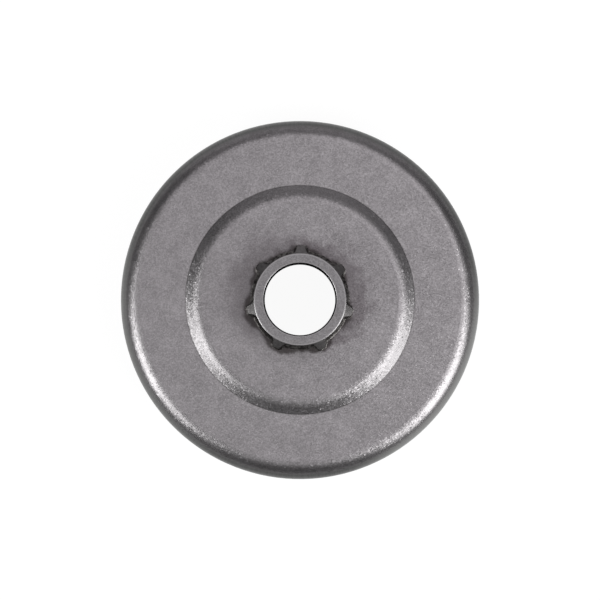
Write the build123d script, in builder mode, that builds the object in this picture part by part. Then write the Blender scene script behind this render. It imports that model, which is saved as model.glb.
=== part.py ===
"""Chainsaw clutch drum with a splined sprocket hub.

A drawn steel cup stands on its open mouth. A shallow boss is pressed up in the middle of its end,
with a round hole. The turned hub sits on the boss by the ends of its splines, and its journal goes
down through the hole. The splines carry a loose rim sprocket and the bore runs on a needle cage.
A fillet of braze around the foot of the splines holds the two together.

Millimetres. +Z runs along the axis towards the hub's free end, the origin is the centre of the
mouth, and one spline points along +Y.
"""

import os
from math import atan2, cos, degrees, pi, radians, tan

from build123d import *

# Drum cup, drawn from one sheet
FRICTION_D = 72.0  # inside of the wall, where the clutch shoes press
SHEET = 2.25  # thickness of the sheet
CUP_DEPTH = 20.0  # mouth to the outside of the annular face
SHOULDER_INNER_R = 1.75  # inside of the round between wall and annular face
MOUTH_CHAMFER = 0.3  # inner edge of the mouth, where the shoes go in

# Boss pressed up in the middle of the cup's end
BOSS_BASE_D = 48.6  # crisp outside crease at the foot of the flank
BOSS_RISE = 1.2  # annular face to plateau
BOSS_FLANK_ANGLE = 26.5  # degrees from the annular face
BOSS_ROUND_R = 4.25  # outside round between flank and plateau

# Splines of the hub
SPLINES = 7
TIP_D = 22.2  # over the spline tips
ROOT_D = 19.05  # between the splines, and the plain collar in front of them
TIP_WIDTH = 1.5  # across one spline at its tip
FLANK_ANGLE = 16.0  # degrees from the spline's centre line
TIP_CHAMFER = 0.2  # corners of a tip
ROOT_ROUND = 1.2  # corners at the foot of a spline

# Turned shape of the hub
BORE_D = 15.0  # track of the needle cage
HUB_STAND = 15.0  # plateau to the hub's front face
COLLAR_LENGTH = 0.5  # front face to where the splines' ends begin
EDGE_WIDTH = 0.12  # broken edges of the front face, across the face
EDGE_DROP = 0.06  # and along the axis
LEAD_IN_ANGLE = 35.0  # degrees, slope of the splines' front ends
JOURNAL_D = 18.2  # through the hole in the boss
JOURNAL_PROUD = 1.0  # beyond the inside of the boss

# Fits and braze
HOLE_CLEARANCE = 0.05  # journal to the hole, all round
BRAZE_CLEARANCE = 0.02  # splines to the braze
BRAZE_REACH = 0.8  # corners of the fillet's foot beyond the spline tips
BRAZE_MIN_WIDTH = 0.6  # least width of the foot between the splines
BRAZE_TOE_WIDTH = 0.55  # shallow slope at the foot
BRAZE_TOE_HEIGHT = 0.3
BRAZE_CREST_HEIGHT = 0.9  # steep slope above it
BRAZE_BITE = 0.1  # how far the steep slope would run into the splines' root

# Places that follow from the sizes above
wall_r = FRICTION_D / 2 + SHEET
boss_base_r = BOSS_BASE_D / 2
boss_top_r = boss_base_r - BOSS_RISE / tan(radians(BOSS_FLANK_ANGLE))
crease_shift = SHEET * tan(radians(BOSS_FLANK_ANGLE / 2))  # creases inside the boss, nearer the axis
plateau_z = CUP_DEPTH + BOSS_RISE
front_z = plateau_z + HUB_STAND
tip_r = TIP_D / 2
root_r = ROOT_D / 2
collar_z = front_z - COLLAR_LENGTH
bore_r = BORE_D / 2
journal_r = JOURNAL_D / 2
journal_z = plateau_z - SHEET - JOURNAL_PROUD

os.makedirs("parts", exist_ok=True)

# Outline of the splines with sharp tips, shared by the hub and the braze
with BuildSketch() as spline_outline:
    Circle(root_r)
    with PolarLocations(0, SPLINES, start_angle=90):
        Trapezoid(
            width=TIP_WIDTH + 2 * tip_r * tan(radians(FLANK_ANGLE)),
            height=tip_r + TIP_WIDTH / 4,
            left_side_angle=90 - FLANK_ANGLE,
            rotation=-90,
            align=(Align.CENTER, Align.MIN),
        )
    Circle(tip_r, mode=Mode.INTERSECT)
    fillet(spline_outline.vertices().group_by(SortBy.DISTANCE)[0], ROOT_ROUND)

# Drum cup, one sheet section turned about the axis
with BuildPart() as drum_cup:
    with BuildSketch(Plane.XZ) as section:
        with BuildLine():
            Polyline(
                (wall_r, 0),
                (wall_r, CUP_DEPTH),
                (boss_base_r, CUP_DEPTH),
                (boss_top_r, plateau_z),
                (0, plateau_z),
                (0, plateau_z - SHEET),
                (boss_top_r - crease_shift, plateau_z - SHEET),
                (boss_base_r - crease_shift, CUP_DEPTH - SHEET),
                (FRICTION_D / 2, CUP_DEPTH - SHEET),
                (FRICTION_D / 2, 0),
                close=True,
            )
        make_face()
        outer_shoulder = section.vertices().sort_by_distance((wall_r, CUP_DEPTH))[0]
        fillet(outer_shoulder, SHOULDER_INNER_R + SHEET)
        inner_shoulder = section.vertices().sort_by_distance((wall_r - SHEET, CUP_DEPTH - SHEET))[0]
        fillet(inner_shoulder, SHOULDER_INNER_R)
        boss_edge = section.vertices().sort_by_distance((boss_top_r, plateau_z))[0]
        fillet(boss_edge, BOSS_ROUND_R)
    revolve(axis=Axis.Z)
    mouth_edges = drum_cup.edges().group_by(Axis.Z)[0]
    chamfer(mouth_edges.sort_by(SortBy.RADIUS)[0], MOUTH_CHAMFER)
    with Locations((0, 0, plateau_z)):
        Hole(journal_r + HOLE_CLEARANCE)
drum_cup.part.label = "drum_cup"

# Splined hub: the splines, coned at their front ends, then the turned core through them
with BuildPart() as splined_hub:
    with BuildSketch(Plane.XY.offset(plateau_z)) as hub_outline:
        add(spline_outline.sketch)
        chamfer(hub_outline.vertices().group_by(SortBy.DISTANCE)[-1], TIP_CHAMFER)
    extrude(amount=HUB_STAND)
    lead_in_slope = tan(radians(LEAD_IN_ANGLE))
    cone_foot_r = tip_r + TIP_CHAMFER
    cone_top_z = collar_z + COLLAR_LENGTH / 2
    with BuildSketch(Plane.XZ):
        with BuildLine():
            Polyline(
                (0, plateau_z),
                (cone_foot_r, plateau_z),
                (cone_foot_r, collar_z - (cone_foot_r - root_r) * lead_in_slope),
                (root_r - (cone_top_z - collar_z) / lead_in_slope, cone_top_z),
                (0, cone_top_z),
                close=True,
            )
        make_face()
    revolve(axis=Axis.Z, mode=Mode.INTERSECT)
    with BuildSketch(Plane.XZ):
        with BuildLine():
            Polyline(
                (0, journal_z),
                (journal_r, journal_z),
                (journal_r, plateau_z),
                (root_r, plateau_z),
                (root_r, front_z - EDGE_DROP),
                (root_r - EDGE_WIDTH, front_z),
                (0, front_z),
                close=True,
            )
        make_face()
    revolve(axis=Axis.Z)
    with BuildSketch(Plane.XZ):
        with BuildLine():
            Polyline(
                (0, journal_z),
                (bore_r, journal_z),
                (bore_r, front_z - EDGE_DROP),
                (bore_r + EDGE_WIDTH, front_z),
                (0, front_z),
                close=True,
            )
        make_face()
    revolve(axis=Axis.Z, mode=Mode.SUBTRACT)
splined_hub.part.label = "splined_hub"

# Braze, a fillet of two slopes that spans from spline to spline
with BuildPart() as braze_fillet:
    foot_apothem = max(root_r + BRAZE_MIN_WIDTH, (tip_r + BRAZE_REACH) * cos(pi / SPLINES))
    crest_width = foot_apothem - BRAZE_TOE_WIDTH - root_r + BRAZE_BITE
    with BuildSketch(Plane.XY.offset(plateau_z)):
        RegularPolygon(foot_apothem, SPLINES, major_radius=False, rotation=90, align=None)
    extrude(amount=BRAZE_TOE_HEIGHT, taper=degrees(atan2(BRAZE_TOE_WIDTH, BRAZE_TOE_HEIGHT)))
    toe_top = braze_fillet.faces().sort_by(Axis.Z)[-1]
    extrude(toe_top, amount=BRAZE_CREST_HEIGHT, taper=degrees(atan2(crest_width, BRAZE_CREST_HEIGHT)))
    with BuildSketch(Plane.XY.offset(plateau_z)):
        offset(spline_outline.sketch, amount=BRAZE_CLEARANCE, kind=Kind.INTERSECTION)
    extrude(amount=HUB_STAND, mode=Mode.SUBTRACT)
braze_fillet.part.label = "braze_fillet"

for piece in (drum_cup, splined_hub, braze_fillet):
    export_step(piece.part, f"parts/{piece.part.label}.step")
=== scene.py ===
"""Looks of the clutch drum: blasted sheet, a turned hub and a run of braze, lit from two sides."""
import math

import bpy
import numpy as np
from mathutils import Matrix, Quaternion, Vector, noise


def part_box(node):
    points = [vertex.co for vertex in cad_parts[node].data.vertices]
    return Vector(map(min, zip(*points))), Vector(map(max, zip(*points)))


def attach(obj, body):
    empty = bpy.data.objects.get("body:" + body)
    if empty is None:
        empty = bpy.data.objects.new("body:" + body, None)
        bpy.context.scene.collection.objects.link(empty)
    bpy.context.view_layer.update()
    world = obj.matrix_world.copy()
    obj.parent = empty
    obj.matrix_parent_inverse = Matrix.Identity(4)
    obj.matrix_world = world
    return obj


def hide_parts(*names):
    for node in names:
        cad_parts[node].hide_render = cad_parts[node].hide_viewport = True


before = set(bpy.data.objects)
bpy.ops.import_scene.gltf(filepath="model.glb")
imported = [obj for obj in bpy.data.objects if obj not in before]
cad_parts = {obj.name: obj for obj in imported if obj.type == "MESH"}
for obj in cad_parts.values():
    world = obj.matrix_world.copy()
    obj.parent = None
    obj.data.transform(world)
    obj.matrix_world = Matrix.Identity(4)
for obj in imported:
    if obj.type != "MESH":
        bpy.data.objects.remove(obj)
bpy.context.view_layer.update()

MM = 0.001
TOUCH = 0.01 * MM

# Most of a noise pattern lies between these values
NOISE_LOW = 0.3
NOISE_HIGH = 0.7

# Sizes taken from the frame
wall_r, _, plateau_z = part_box("drum_cup")[1]
_, tip_r, front_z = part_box("splined_hub")[1]

# Sizes that the frame's boxes don't give
SPLINES = 7
BORE_R = 7.5 * MM
ROOT_R = 9.525 * MM
FRICTION_R = 36 * MM
INSIDE_Z = 19 * MM  # just above the highest point inside the drum
BOSS_BASE_R = 24.3 * MM
BOSS_TOP_R = 20.9 * MM

# Colours of the drum
BLASTED_DARK = (0.178, 0.172, 0.175, 1)
BLASTED_LIGHT = (0.304, 0.294, 0.300, 1)
STAINED = (0.10, 0.088, 0.094, 1)
# partly burnt braze, partly painted shade at the hub's foot
BURNT_SHADE = (0.04, 0.035, 0.034, 1)
# painted shade for the crease at the foot of the boss
CREASE_SHADE = (0.06, 0.058, 0.057, 1)
# dark scale that also stands in for painted shade on the wall
SCALE_SHADE_DARK = (0.073, 0.073, 0.072, 1)
SCALE_SHADE_LIGHT = (0.091, 0.091, 0.090, 1)
# painted reflection of the lit floor on two sides of the wall
PAINTED_SHEEN = (0.234, 0.234, 0.231, 1)
TRACK_DARK = (0.18, 0.172, 0.168, 1)
TRACK_LIGHT = (0.34, 0.33, 0.322, 1)

# Colours of the hub and the braze
HUB_DARK = (0.117, 0.113, 0.116, 1)
HUB_LIGHT = (0.272, 0.268, 0.271, 1)
HUB_WORN = (0.27, 0.265, 0.268, 1)
HUB_SIDE_DARK = (0.082, 0.079, 0.079, 1)
HUB_SIDE_LIGHT = (0.225, 0.218, 0.218, 1)
# painted shade inside the bore
BORE_SHADE_BLACK = (0.012, 0.012, 0.012, 1)
BRAZE_DARK = (0.05, 0.046, 0.045, 1)
BRAZE_LIGHT = (0.19, 0.185, 0.177, 1)
SOOT = (0.03, 0.028, 0.027, 1)

# Grain of the blasted sheet
GRAIN = 0.24 * MM
CLOUDS = 4 * MM
CLOUD_SHARE = 0.6
FLAT_TIP = 0.27  # how far the grains tip out of the surface
WALL_TIP = 0.16
FLANK_TIP = 0.27
WALL_TIP_FROM_R = 0.93 * wall_r
WALL_TIP_FULL_R = 0.96 * wall_r
SHEET_ROUGHNESS = 0.34
FLANK_ROUGHNESS = 0.38
FLANK_FADE = 1.5 * MM

# Heat stains on the boss: centre, radius where they are full, radius where they end, strength
HEAT_STAINS = (
    ((-3.6 * MM, 1.9 * MM, 0), 9.0 * MM, 14.0 * MM, 0.38),
    ((2.8 * MM, 0.7 * MM, 0), 9.8 * MM, 13.0 * MM, 0.60),
)
STAIN_PATCHES = 3 * MM
STAIN_WANDER = 1.5 * MM

# Dark edge around the hub, partly burnt braze and partly painted shade at the hub's foot, which swings
# out at each spline
BURN_SHADE_CENTRE = (-0.33 * MM, -0.36 * MM, 0)
BURN_SHADE_SWING = 0.55 * MM
BURN_SHADE_WANDER_SHARE = 0.25
BURN_SHADE_FULL_R = 10.75 * MM
BURN_SHADE_CLEAR_R = 11.75 * MM
BURN_SHADE_STRENGTH = 0.82

# Painted shade: a dark line in the crease at the foot of the boss
CREASE_FULL = 0.03 * MM
CREASE_CLEAR = 0.2 * MM
CREASE_STRENGTH = 0.5

# Scale on the wall, partly painted shade, and the painted reflection of the lit floor on two sides, as
# angles from +Y towards +X
SCALE_SHADE_FROM_R = 0.95 * wall_r
SCALE_SHADE_FULL_R = 0.978 * wall_r
DRAW_MARK_TURN = 0.02
SHEEN_RIGHT = math.radians(120)
SHEEN_LEFT = math.radians(-110)
SHEEN_LEFT_SHARE = 0.45
LOBE_EDGE = 0.7  # cosine of the angle where a mark on one side ends

# Turned surfaces
TURNING_PITCH = 0.3 * MM
TRACK_MARGIN = 0.1 * MM
HUB_ROUGHNESS = 0.36
HUB_CLOUDS = 3 * MM
HUB_CLOUD_SHARE = 0.25
HUB_TURNING_SHARE = 0.25
HUB_SPECK_SHARE = 0.5
HUB_SIDE_PATCHES = 0.6 * MM
HUB_EDGE_DROP = 0.07 * MM
HUB_BUMPS = 0.3 * MM
HUB_BUMP_HEIGHT = 0.008 * MM
OUTER_WEAR = (0.36 * MM, 0.24 * MM)  # from the rim of the front face, where it starts and is full
INNER_WEAR = (0.14 * MM, 0.28 * MM)  # from the bore, where it is full and ends
BORE_MARGIN = 0.05 * MM
BARE_SPECULAR = 0.5

# Run of braze around the splines
BEAD_WIDTH = 0.65 * MM
BEAD_GAP_R = 10.65 * MM
BEAD_BLEND = 0.2 * MM
BEAD_HEIGHT = 1.15 * MM
BEAD_TIP_HEIGHT = 0.45 * MM
BEAD_CURVE = 1.7
BEAD_SINK = 0.04 * MM
BEAD_WANDER = 0.1 * MM
BEAD_LONG_WAVES = 7
BEAD_SHORT_WAVES = 23
BEAD_SHORT_SHARE = 0.5
BEAD_CREST_SWING = 0.2
BEAD_CREST_WAVES = 9
BEAD_LUMPS = 0.05 * MM
BEAD_LUMP_SIZE = 0.6 * MM
BEAD_STEPS_AROUND = 504
BEAD_STEPS_ACROSS = 12
BEAD_TOE_STEPS = 61
BRAZE_PATCHES = 0.7 * MM
BRAZE_PATCH_LOW = 0.35
BRAZE_PATCH_HIGH = 0.65
BRAZE_ROUGHNESS = 0.36
BRAZE_BUMPS = 0.3 * MM
BRAZE_BUMP_HEIGHT = 0.04 * MM
SOOT_SIDE = math.radians(-130)  # from +Y towards +X
SOOT_STRENGTH = 0.8

# Camera, almost square to the hub's face
PHOTO_SIZE = 600
DRUM_RADIUS_IN_PHOTO = 179.2
CAMERA_HEIGHT = 520 * MM
CAMERA_LEAN = 0.35
CAMERA_ROLL = 1.2
SILHOUETTE_Z = 16.3 * MM

# Light, as radiance where a white card would render at 1, and angles in degrees
CEILING = 0.96
CEILING_COLOUR = (1.02, 0.985, 1.015, 1)
CEILING_HALF_ANGLE = 30
CEILING_FADE = 13
CEILING_SLOPE = 2.3
CEILING_BRIGHT_SIDE = 45
ROOM = 0.07
BACK_WALL = 0.46
BACK_WALL_FROM = 0.5
BACK_WALL_FULL = 0.9
HORIZON = 0.97
HORIZON_TOP = 9
LEFT_LIGHT = {"azimuth": 205, "zenith": 45, "width": 0.43, "height": 0.66, "radiance": 6.45}
RIGHT_LIGHT = {"azimuth": 330, "zenith": 45.5, "width": 0.50, "height": 0.70, "radiance": 6.3}
LIGHT_DISTANCE = 1.0

# Floor, a hair below the mouth
FLOOR_RADIUS = 3.0
FLOOR_SIDES = 96
FLOOR_DROP = 0.05 * MM
FLOOR_GLOW = 0.935
FLOOR_CATCH = (0.09, 0.09, 0.09, 1)
FLOOR_PLAIN = (0.8, 0.8, 0.8, 1)


class Graph:
    """A node tree, with one short method for each kind of node that the materials use."""

    def __init__(self, tree):
        self.tree = tree

    def node(self, kind, inputs, **settings):
        node = self.tree.nodes.new(kind)
        for name, value in settings.items():
            setattr(node, name, value)
        for key, value in inputs.items():
            if isinstance(value, bpy.types.NodeSocket):
                self.tree.links.new(value, node.inputs[key])
            else:
                node.inputs[key].default_value = value
        return node

    def join(self, output, socket):
        self.tree.links.new(output, socket)

    def math(self, operation, a, b=0.0):
        return self.node("ShaderNodeMath", {0: a, 1: b}, operation=operation).outputs[0]

    def plus(self, a, b):
        return self.math("ADD", a, b)

    def minus(self, a, b):
        return self.math("SUBTRACT", a, b)

    def times(self, a, b):
        return self.math("MULTIPLY", a, b)

    def larger(self, a, b):
        return self.math("MAXIMUM", a, b)

    def below(self, value, limit):
        """1 where the value is below the limit, 0 elsewhere."""
        return self.math("LESS_THAN", value, limit)

    def vector(self, operation, a, b=(0, 0, 0)):
        return self.node("ShaderNodeVectorMath", {0: a, 1: b}, operation=operation).outputs[0]

    def measure(self, operation, a, b=(0, 0, 0)):
        """A single value from one or two vectors, such as a length."""
        return self.node("ShaderNodeVectorMath", {0: a, 1: b}, operation=operation).outputs["Value"]

    def axes(self, place):
        return self.node("ShaderNodeSeparateXYZ", {0: place}).outputs

    def place(self):
        return self.node("ShaderNodeTexCoord", {}).outputs["Object"]

    def radius(self, place, centre=(0, 0, 0)):
        """Distance from an upright line through the centre, which is the axis unless it is given."""
        away = self.vector("SUBTRACT", place, centre)
        return self.measure("LENGTH", self.vector("MULTIPLY", away, (1, 1, 0)))

    def turn_from_top(self, place):
        """Angle around the axis, in radians from the spline on +Y."""
        axes = self.axes(place)
        return self.math("ARCTAN2", axes["X"], axes["Y"])

    def lobe(self, turn, middle):
        """1 in one direction around the axis, fading to 0 on both sides of it."""
        return self.spread(self.math("COSINE", self.minus(turn, middle)), LOBE_EDGE, 1.0)

    def spread(self, value, low, high, to_low=0.0, to_high=1.0):
        """Maps low..high smoothly to to_low..to_high and holds the ends."""
        inputs = {0: value, 1: low, 2: high, 3: to_low, 4: to_high}
        return self.node("ShaderNodeMapRange", inputs, interpolation_type="SMOOTHSTEP").outputs[0]

    def mix(self, factor, a, b):
        inputs = {"Factor": factor, 6: a, 7: b}
        return self.node("ShaderNodeMix", inputs, data_type="RGBA").outputs[2]

    def noise(self, place, size, detail=2.0):
        inputs = {"Vector": place, "Scale": 1 / size, "Detail": detail}
        return self.node("ShaderNodeTexNoise", inputs).outputs[0]

    def grains(self, place, size):
        """A random colour for each grain of about that size, and its three channels."""
        inputs = {"Vector": place, "Scale": 1 / size}
        colour = self.node("ShaderNodeTexVoronoi", inputs).outputs["Color"]
        return colour, self.node("ShaderNodeSeparateColor", {0: colour}).outputs

    def facets(self, grains, tilt):
        """The surface normal, tipped at random from grain to grain."""
        normal = self.node("ShaderNodeNewGeometry", {}).outputs["Normal"]
        inputs = {0: self.vector("SUBTRACT", grains, (0.5, 0.5, 0.5)), "Scale": tilt}
        tipped = self.node("ShaderNodeVectorMath", inputs, operation="SCALE").outputs[0]
        return self.vector("NORMALIZE", self.vector("ADD", normal, tipped))

    def bump(self, height, distance):
        return self.node("ShaderNodeBump", {"Height": height, "Distance": distance}).outputs[0]


def metal(name):
    material = bpy.data.materials.new(name)
    material.use_nodes = True
    shader = material.node_tree.nodes["Principled BSDF"]
    shader.inputs["Metallic"].default_value = 1.0
    return material, Graph(material.node_tree), shader.inputs


def blasted(graph, place, speck):
    """Grey sheet, cloudy and specked."""
    clouds = graph.times(graph.noise(place, CLOUDS, 3), CLOUD_SHARE)
    specks = graph.times(speck, 1 - CLOUD_SHARE)
    return graph.mix(graph.spread(graph.plus(clouds, specks), 0.0, 1.0), BLASTED_DARK, BLASTED_LIGHT)


def heat_marked_and_shaded(graph, colour, place, turn):
    """Stains on the boss, and a dark edge around the hub that is partly burnt braze and partly painted
    shade at its foot, both with uneven outlines.
    """
    patches = graph.noise(place, STAIN_PATCHES, 4)
    wander = graph.spread(patches, NOISE_LOW, NOISE_HIGH, -STAIN_WANDER, STAIN_WANDER)
    for centre, full, clear, strength in HEAT_STAINS:
        away = graph.plus(graph.radius(place, centre), wander)
        colour = graph.mix(graph.spread(away, full, clear, strength, 0.0), colour, STAINED)
    # painted shade at the hub's foot, mixed with burnt braze, darkest next to the bead
    swing = graph.times(graph.math("COSINE", graph.times(turn, SPLINES)), BURN_SHADE_SWING)
    away = graph.minus(graph.radius(place, BURN_SHADE_CENTRE), swing)
    away = graph.plus(away, graph.times(wander, BURN_SHADE_WANDER_SHARE))
    burn_and_shade = graph.spread(away, BURN_SHADE_FULL_R, BURN_SHADE_CLEAR_R, BURN_SHADE_STRENGTH, 0.0)
    return graph.mix(burn_and_shade, colour, BURNT_SHADE)


def crease_shaded(graph, colour, radius):
    # painted shade: a dark line along the crease at the foot of the boss
    away = graph.math("ABSOLUTE", graph.minus(radius, BOSS_BASE_R))
    line = graph.spread(away, CREASE_FULL, CREASE_CLEAR, CREASE_STRENGTH, 0.0)
    return graph.mix(line, colour, CREASE_SHADE)


def scale_shade_and_sheen(graph, colour, radius, turn):
    """Dark scale on the wall, partly painted shade, with upright draw marks, and a painted reflection
    of the lit floor making two sides brighter.
    """
    # painted shade: the dark scale also stands in for the wall's shade
    marks = graph.spread(graph.noise(turn, DRAW_MARK_TURN), NOISE_LOW, NOISE_HIGH)
    scale = graph.mix(marks, SCALE_SHADE_DARK, SCALE_SHADE_LIGHT)
    # painted reflection: two sides of the wall are lighter, where the lit floor would show in them
    sheen_left = graph.times(graph.lobe(turn, SHEEN_LEFT), SHEEN_LEFT_SHARE)
    sheen = graph.larger(graph.lobe(turn, SHEEN_RIGHT), sheen_left)
    scale = graph.mix(sheen, scale, PAINTED_SHEEN)
    return graph.mix(graph.spread(radius, SCALE_SHADE_FROM_R, SCALE_SHADE_FULL_R), colour, scale)


def turned_inside(graph, colour, radius, height):
    """Bright turned rings on the track of the clutch shoes, and plain bright steel above it."""
    inside = graph.below(height, INSIDE_Z)
    inside = graph.times(inside, graph.below(radius, FRICTION_R + TRACK_MARGIN))
    rings = graph.mix(graph.noise(height, TURNING_PITCH), TRACK_DARK, TRACK_LIGHT)
    return graph.mix(inside, colour, rings)


def grain_tilt(graph, radius, lift, stretched):
    """How far each grain tips: a few tip far on the flats, most tip a little on the stretched flank."""
    tip = graph.spread(radius, WALL_TIP_FROM_R, WALL_TIP_FULL_R, FLAT_TIP, WALL_TIP)
    few = graph.times(graph.times(lift, lift), tip)
    most = graph.times(graph.times(lift, stretched), FLANK_TIP)
    return graph.larger(few, most)


def drum_steel():
    """Blasted sheet: heat stains around the hub, a dark edge at the hub's foot that is partly burnt
    braze and partly painted shade, painted shade in the crease, darker scale on the wall that is partly
    painted shade, a painted reflection of the lit floor on two sides of the wall, turned inside.
    """
    material, graph, inputs = metal("drum_steel")
    place = graph.place()
    radius = graph.radius(place)
    turn = graph.turn_from_top(place)
    grains, (speck, _, lift) = graph.grains(place, GRAIN)

    colour = blasted(graph, place, speck)
    colour = heat_marked_and_shaded(graph, colour, place, turn)
    colour = crease_shaded(graph, colour, radius)
    colour = scale_shade_and_sheen(graph, colour, radius, turn)
    colour = turned_inside(graph, colour, radius, graph.axes(place)["Z"])
    graph.join(colour, inputs["Base Color"])

    stretched = graph.spread(radius, BOSS_TOP_R, BOSS_TOP_R + FLANK_FADE)
    stretched = graph.times(stretched, graph.below(radius, BOSS_BASE_R))
    roughness = graph.spread(stretched, 0.0, 1.0, SHEET_ROUGHNESS, FLANK_ROUGHNESS)
    graph.join(roughness, inputs["Roughness"])
    graph.join(graph.facets(grains, grain_tilt(graph, radius, lift, stretched)), inputs["Normal"])
    return material


def hub_face(graph, place, radius):
    """Turned front face, specked and cloudy, with bright worn edges."""
    _, (speck, _, _) = graph.grains(place, GRAIN)
    specks = graph.times(speck, HUB_SPECK_SHARE)
    rings = graph.times(graph.noise(radius, TURNING_PITCH), HUB_TURNING_SHARE)
    clouds = graph.times(graph.noise(place, HUB_CLOUDS), HUB_CLOUD_SHARE)
    colour = graph.mix(graph.plus(graph.plus(specks, rings), clouds), HUB_DARK, HUB_LIGHT)
    outer_start, outer_full = OUTER_WEAR
    inner_full, inner_end = INNER_WEAR
    outer_wear = graph.spread(radius, ROOT_R - outer_start, ROOT_R - outer_full)
    inner_wear = graph.spread(radius, BORE_R + inner_full, BORE_R + inner_end, 1.0, 0.0)
    return graph.mix(graph.larger(outer_wear, inner_wear), colour, HUB_WORN)


def hub_steel():
    """Turned steel: a plain front face, mottled dark sides, and the bore painted black as shade, with
    no metal in it.
    """
    material, graph, inputs = metal("hub_steel")
    place = graph.place()
    radius = graph.radius(place)
    sides = graph.mix(graph.noise(place, HUB_SIDE_PATCHES, 3), HUB_SIDE_DARK, HUB_SIDE_LIGHT)
    on_side = graph.below(graph.axes(place)["Z"], front_z - HUB_EDGE_DROP)
    colour = graph.mix(on_side, hub_face(graph, place, radius), sides)
    # painted shade: the bore wall is painted black and not metallic
    bore = graph.below(radius, BORE_R + BORE_MARGIN)
    bare = graph.minus(1.0, bore)
    graph.join(graph.mix(bore, colour, BORE_SHADE_BLACK), inputs["Base Color"])
    graph.join(bare, inputs["Metallic"])
    graph.join(graph.times(bare, BARE_SPECULAR), inputs["Specular IOR Level"])
    inputs["Roughness"].default_value = HUB_ROUGHNESS
    graph.join(graph.bump(graph.noise(place, HUB_BUMPS), HUB_BUMP_HEIGHT), inputs["Normal"])
    return material


def braze_metal():
    """Heat-stained braze in light and dark patches, with soot on one side."""
    material, graph, inputs = metal("braze_metal")
    place = graph.place()
    patches = graph.noise(place, BRAZE_PATCHES, 3)
    patches = graph.spread(patches, BRAZE_PATCH_LOW, BRAZE_PATCH_HIGH)
    soot = graph.times(graph.lobe(graph.turn_from_top(place), SOOT_SIDE), SOOT_STRENGTH)
    colour = graph.mix(soot, graph.mix(patches, BRAZE_DARK, BRAZE_LIGHT), SOOT)
    graph.join(colour, inputs["Base Color"])
    inputs["Roughness"].default_value = BRAZE_ROUGHNESS
    graph.join(graph.bump(graph.noise(place, BRAZE_BUMPS), BRAZE_BUMP_HEIGHT), inputs["Normal"])
    return material


def hub_outline():
    """Angles and radii of the hub's corners where it stands on the plateau, in order of angle."""
    corners = np.array([v.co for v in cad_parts["splined_hub"].data.vertices])
    radii = np.hypot(corners[:, 0], corners[:, 1])
    on_plateau = abs(corners[:, 2] - plateau_z) < TOUCH
    standing = on_plateau & (radii > ROOT_R - BEAD_SINK)
    angles = np.arctan2(corners[standing, 1], corners[standing, 0])
    order = np.argsort(angles)
    return angles[order], radii[standing][order]


def bead_toe(angle, angles, radii):
    """Outer edge of the braze: an even distance around the splines, a circle between them.

    The edge wanders a little on its way round.
    """
    turns = np.linspace(-BEAD_WIDTH, BEAD_WIDTH, BEAD_TOE_STEPS) / tip_r
    hub_r = np.interp(angle + turns, angles, radii, period=math.tau)
    rise = np.sqrt(np.clip(BEAD_WIDTH ** 2 - (hub_r * np.sin(turns)) ** 2, 0, None))
    around_spline = np.max(hub_r * np.cos(turns) + rise)
    blended = BEAD_BLEND * np.logaddexp(BEAD_GAP_R / BEAD_BLEND, around_spline / BEAD_BLEND)
    around = Vector((math.cos(angle), math.sin(angle), 0))
    wander = noise.noise(around * BEAD_LONG_WAVES)
    wander += BEAD_SHORT_SHARE * noise.noise(around * BEAD_SHORT_WAVES)
    return float(blended) + BEAD_WANDER * wander


def bead_section(angle, angles, radii):
    """Cross-section of the braze, from its toe on the plateau up to the hub and down again."""
    across = Vector((math.cos(angle), math.sin(angle), 0))
    hub_r = float(np.interp(angle, angles, radii, period=math.tau))
    inner = hub_r - BEAD_SINK
    outer = bead_toe(angle, angles, radii)
    base_z = plateau_z - BEAD_SINK
    gap = (tip_r - hub_r) / (tip_r - ROOT_R)
    crest = BEAD_TIP_HEIGHT + (BEAD_HEIGHT - BEAD_TIP_HEIGHT) * gap
    crest *= 1 + BEAD_CREST_SWING * noise.noise(across * BEAD_CREST_WAVES)
    section = []
    for row in range(BEAD_STEPS_ACROSS + 1):
        up = row / BEAD_STEPS_ACROSS
        point = across * (outer + (inner - outer) * up)
        lump = BEAD_LUMPS * noise.noise(point / BEAD_LUMP_SIZE) * math.sin(math.pi * up)
        point.z = base_z + crest * up ** BEAD_CURVE + lump
        section.append(point)
    section.append(across * inner + Vector((0, 0, base_z)))
    return section


def bead_faces():
    """Four-sided faces that join each cross-section to the next, all the way round."""
    ring = BEAD_STEPS_ACROSS + 2
    faces = []
    for step in range(BEAD_STEPS_AROUND):
        here = step * ring
        there = (step + 1) % BEAD_STEPS_AROUND * ring
        for row in range(ring):
            after = (row + 1) % ring
            faces.append((here + row, there + row, there + after, here + after))
    return faces


def make_bead(material):
    angles, radii = hub_outline()
    points = []
    for step in range(BEAD_STEPS_AROUND):
        angle = math.tau * step / BEAD_STEPS_AROUND - math.pi
        points.extend(bead_section(angle, angles, radii))
    mesh = bpy.data.meshes.new("braze_bead")
    mesh.from_pydata(points, [], bead_faces())
    mesh.shade_smooth()
    mesh.materials.append(material)
    bead = bpy.data.objects.new("braze_bead", mesh)
    bpy.context.scene.collection.objects.link(bead)
    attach(bead, "root")
    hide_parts("braze_fillet")


def dress(node, material):
    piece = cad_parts[node]
    piece.data.materials.clear()
    piece.data.materials.append(material)


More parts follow.
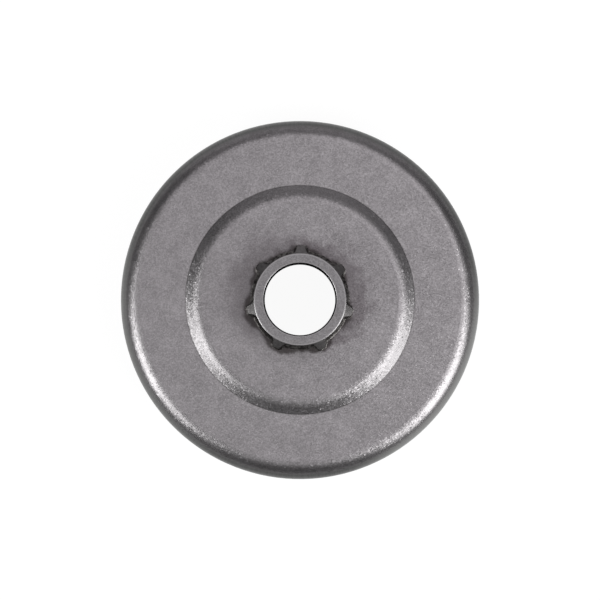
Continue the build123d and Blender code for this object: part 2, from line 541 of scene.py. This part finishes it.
def floor_material():
    """White where it is seen, plain grey where it lights the part, and clear from below."""
    material = bpy.data.materials.new("floor_white")
    material.use_nodes = True
    tree = material.node_tree
    tree.nodes.clear()
    graph = Graph(tree)
    path = graph.node("ShaderNodeLightPath", {}).outputs
    seen = graph.larger(path["Is Camera Ray"], path["Is Glossy Ray"])
    seen = graph.larger(seen, path["Is Transmission Ray"])
    plain = graph.node("ShaderNodeBsdfDiffuse", {"Color": FLOOR_PLAIN}).outputs[0]
    glow = graph.node("ShaderNodeEmission", {"Strength": FLOOR_GLOW}).outputs[0]
    catch = graph.node("ShaderNodeBsdfDiffuse", {"Color": FLOOR_CATCH}).outputs[0]
    white = graph.node("ShaderNodeAddShader", {0: glow, 1: catch}).outputs[0]
    shown = graph.node("ShaderNodeMixShader", {0: seen, 1: plain, 2: white}).outputs[0]
    underneath = graph.node("ShaderNodeNewGeometry", {}).outputs["Backfacing"]
    underneath = graph.times(underneath, path["Is Camera Ray"])
    clear = graph.node("ShaderNodeBsdfTransparent", {}).outputs[0]
    shown = graph.node("ShaderNodeMixShader", {0: underneath, 1: shown, 2: clear}).outputs[0]
    graph.node("ShaderNodeOutputMaterial", {"Surface": shown})
    return material


def make_floor():
    place = (0, 0, -FLOOR_DROP)
    bpy.ops.mesh.primitive_circle_add(
        vertices=FLOOR_SIDES, radius=FLOOR_RADIUS, fill_type="NGON", location=place
    )
    floor = bpy.context.object
    floor.name = "floor"
    floor.data.materials.append(floor_material())


def ceiling_light(graph, direction, upward):
    """A round bright ceiling with a soft edge, brighter towards one side."""
    cap_edge = math.cos(math.radians(CEILING_HALF_ANGLE + CEILING_FADE))
    cap_full = math.cos(math.radians(CEILING_HALF_ANGLE - CEILING_FADE))
    ceiling = graph.spread(upward, cap_edge, cap_full, 0.0, CEILING)
    turn = math.radians(CEILING_BRIGHT_SIDE)
    slope = (CEILING_SLOPE * math.cos(turn), CEILING_SLOPE * math.sin(turn), 0)
    rise = graph.measure("DOT_PRODUCT", direction, slope)
    return graph.times(ceiling, graph.plus(rise, 1.0))


def make_world():
    """A dim room with a bright ceiling, a lighter back wall and a pale horizon."""
    world = bpy.data.worlds.new("studio")
    bpy.context.scene.world = world
    world.use_nodes = True
    graph = Graph(world.node_tree)
    direction = graph.node("ShaderNodeTexCoord", {}).outputs["Generated"]
    axes = graph.axes(direction)
    ceiling = ceiling_light(graph, direction, axes["Z"])
    back_wall = graph.spread(axes["Y"], BACK_WALL_FROM, BACK_WALL_FULL, ROOM, BACK_WALL)
    horizon_top = math.sin(math.radians(HORIZON_TOP))
    horizon = graph.spread(axes["Z"], 0.0, horizon_top, HORIZON, 0.0)
    background = world.node_tree.nodes["Background"].inputs
    graph.join(graph.larger(graph.larger(ceiling, back_wall), horizon), background["Strength"])
    background["Color"].default_value = CEILING_COLOUR


def make_side_light(name, azimuth, zenith, width, height, radiance):
    turn, lean = math.radians(azimuth), math.radians(zenith)
    side = math.sin(lean)
    out = Vector((math.cos(turn) * side, math.sin(turn) * side, math.cos(lean)))
    data = bpy.data.lights.new(name, "AREA")
    data.shape = "RECTANGLE"
    data.size = width
    data.size_y = height
    data.energy = radiance * math.pi * width * height
    light = bpy.data.objects.new(name, data)
    light.location = Vector((0, 0, plateau_z)) + out * LIGHT_DISTANCE
    light.rotation_mode = "QUATERNION"
    light.rotation_quaternion = (-out).to_track_quat("-Z", "Y")
    light.visible_camera = False
    bpy.context.scene.collection.objects.link(light)


def make_camera():
    data = bpy.data.cameras.new("camera")
    camera = bpy.data.objects.new("camera", data)
    bpy.context.scene.collection.objects.link(camera)
    bpy.context.scene.camera = camera
    target = Vector((0, 0, SILHOUETTE_Z))
    distance = front_z + CAMERA_HEIGHT - SILHOUETTE_Z
    camera.location = target + Vector((0, -math.sin(math.radians(CAMERA_LEAN)), 1)) * distance
    camera.rotation_mode = "QUATERNION"
    roll = Quaternion((0, 0, 1), math.radians(CAMERA_ROLL))
    camera.rotation_quaternion = (target - camera.location).to_track_quat("-Z", "Y") @ roll
    frame_width = wall_r * PHOTO_SIZE / DRUM_RADIUS_IN_PHOTO
    data.lens = data.sensor_width * distance / frame_width


dress("drum_cup", drum_steel())
dress("splined_hub", hub_steel())
braze = braze_metal()
dress("braze_fillet", braze)
make_bead(braze)
make_floor()
make_world()
make_side_light("left_light", **LEFT_LIGHT)
make_side_light("right_light", **RIGHT_LIGHT)
make_camera()
bpy.context.scene.view_settings.view_transform = "Standard"
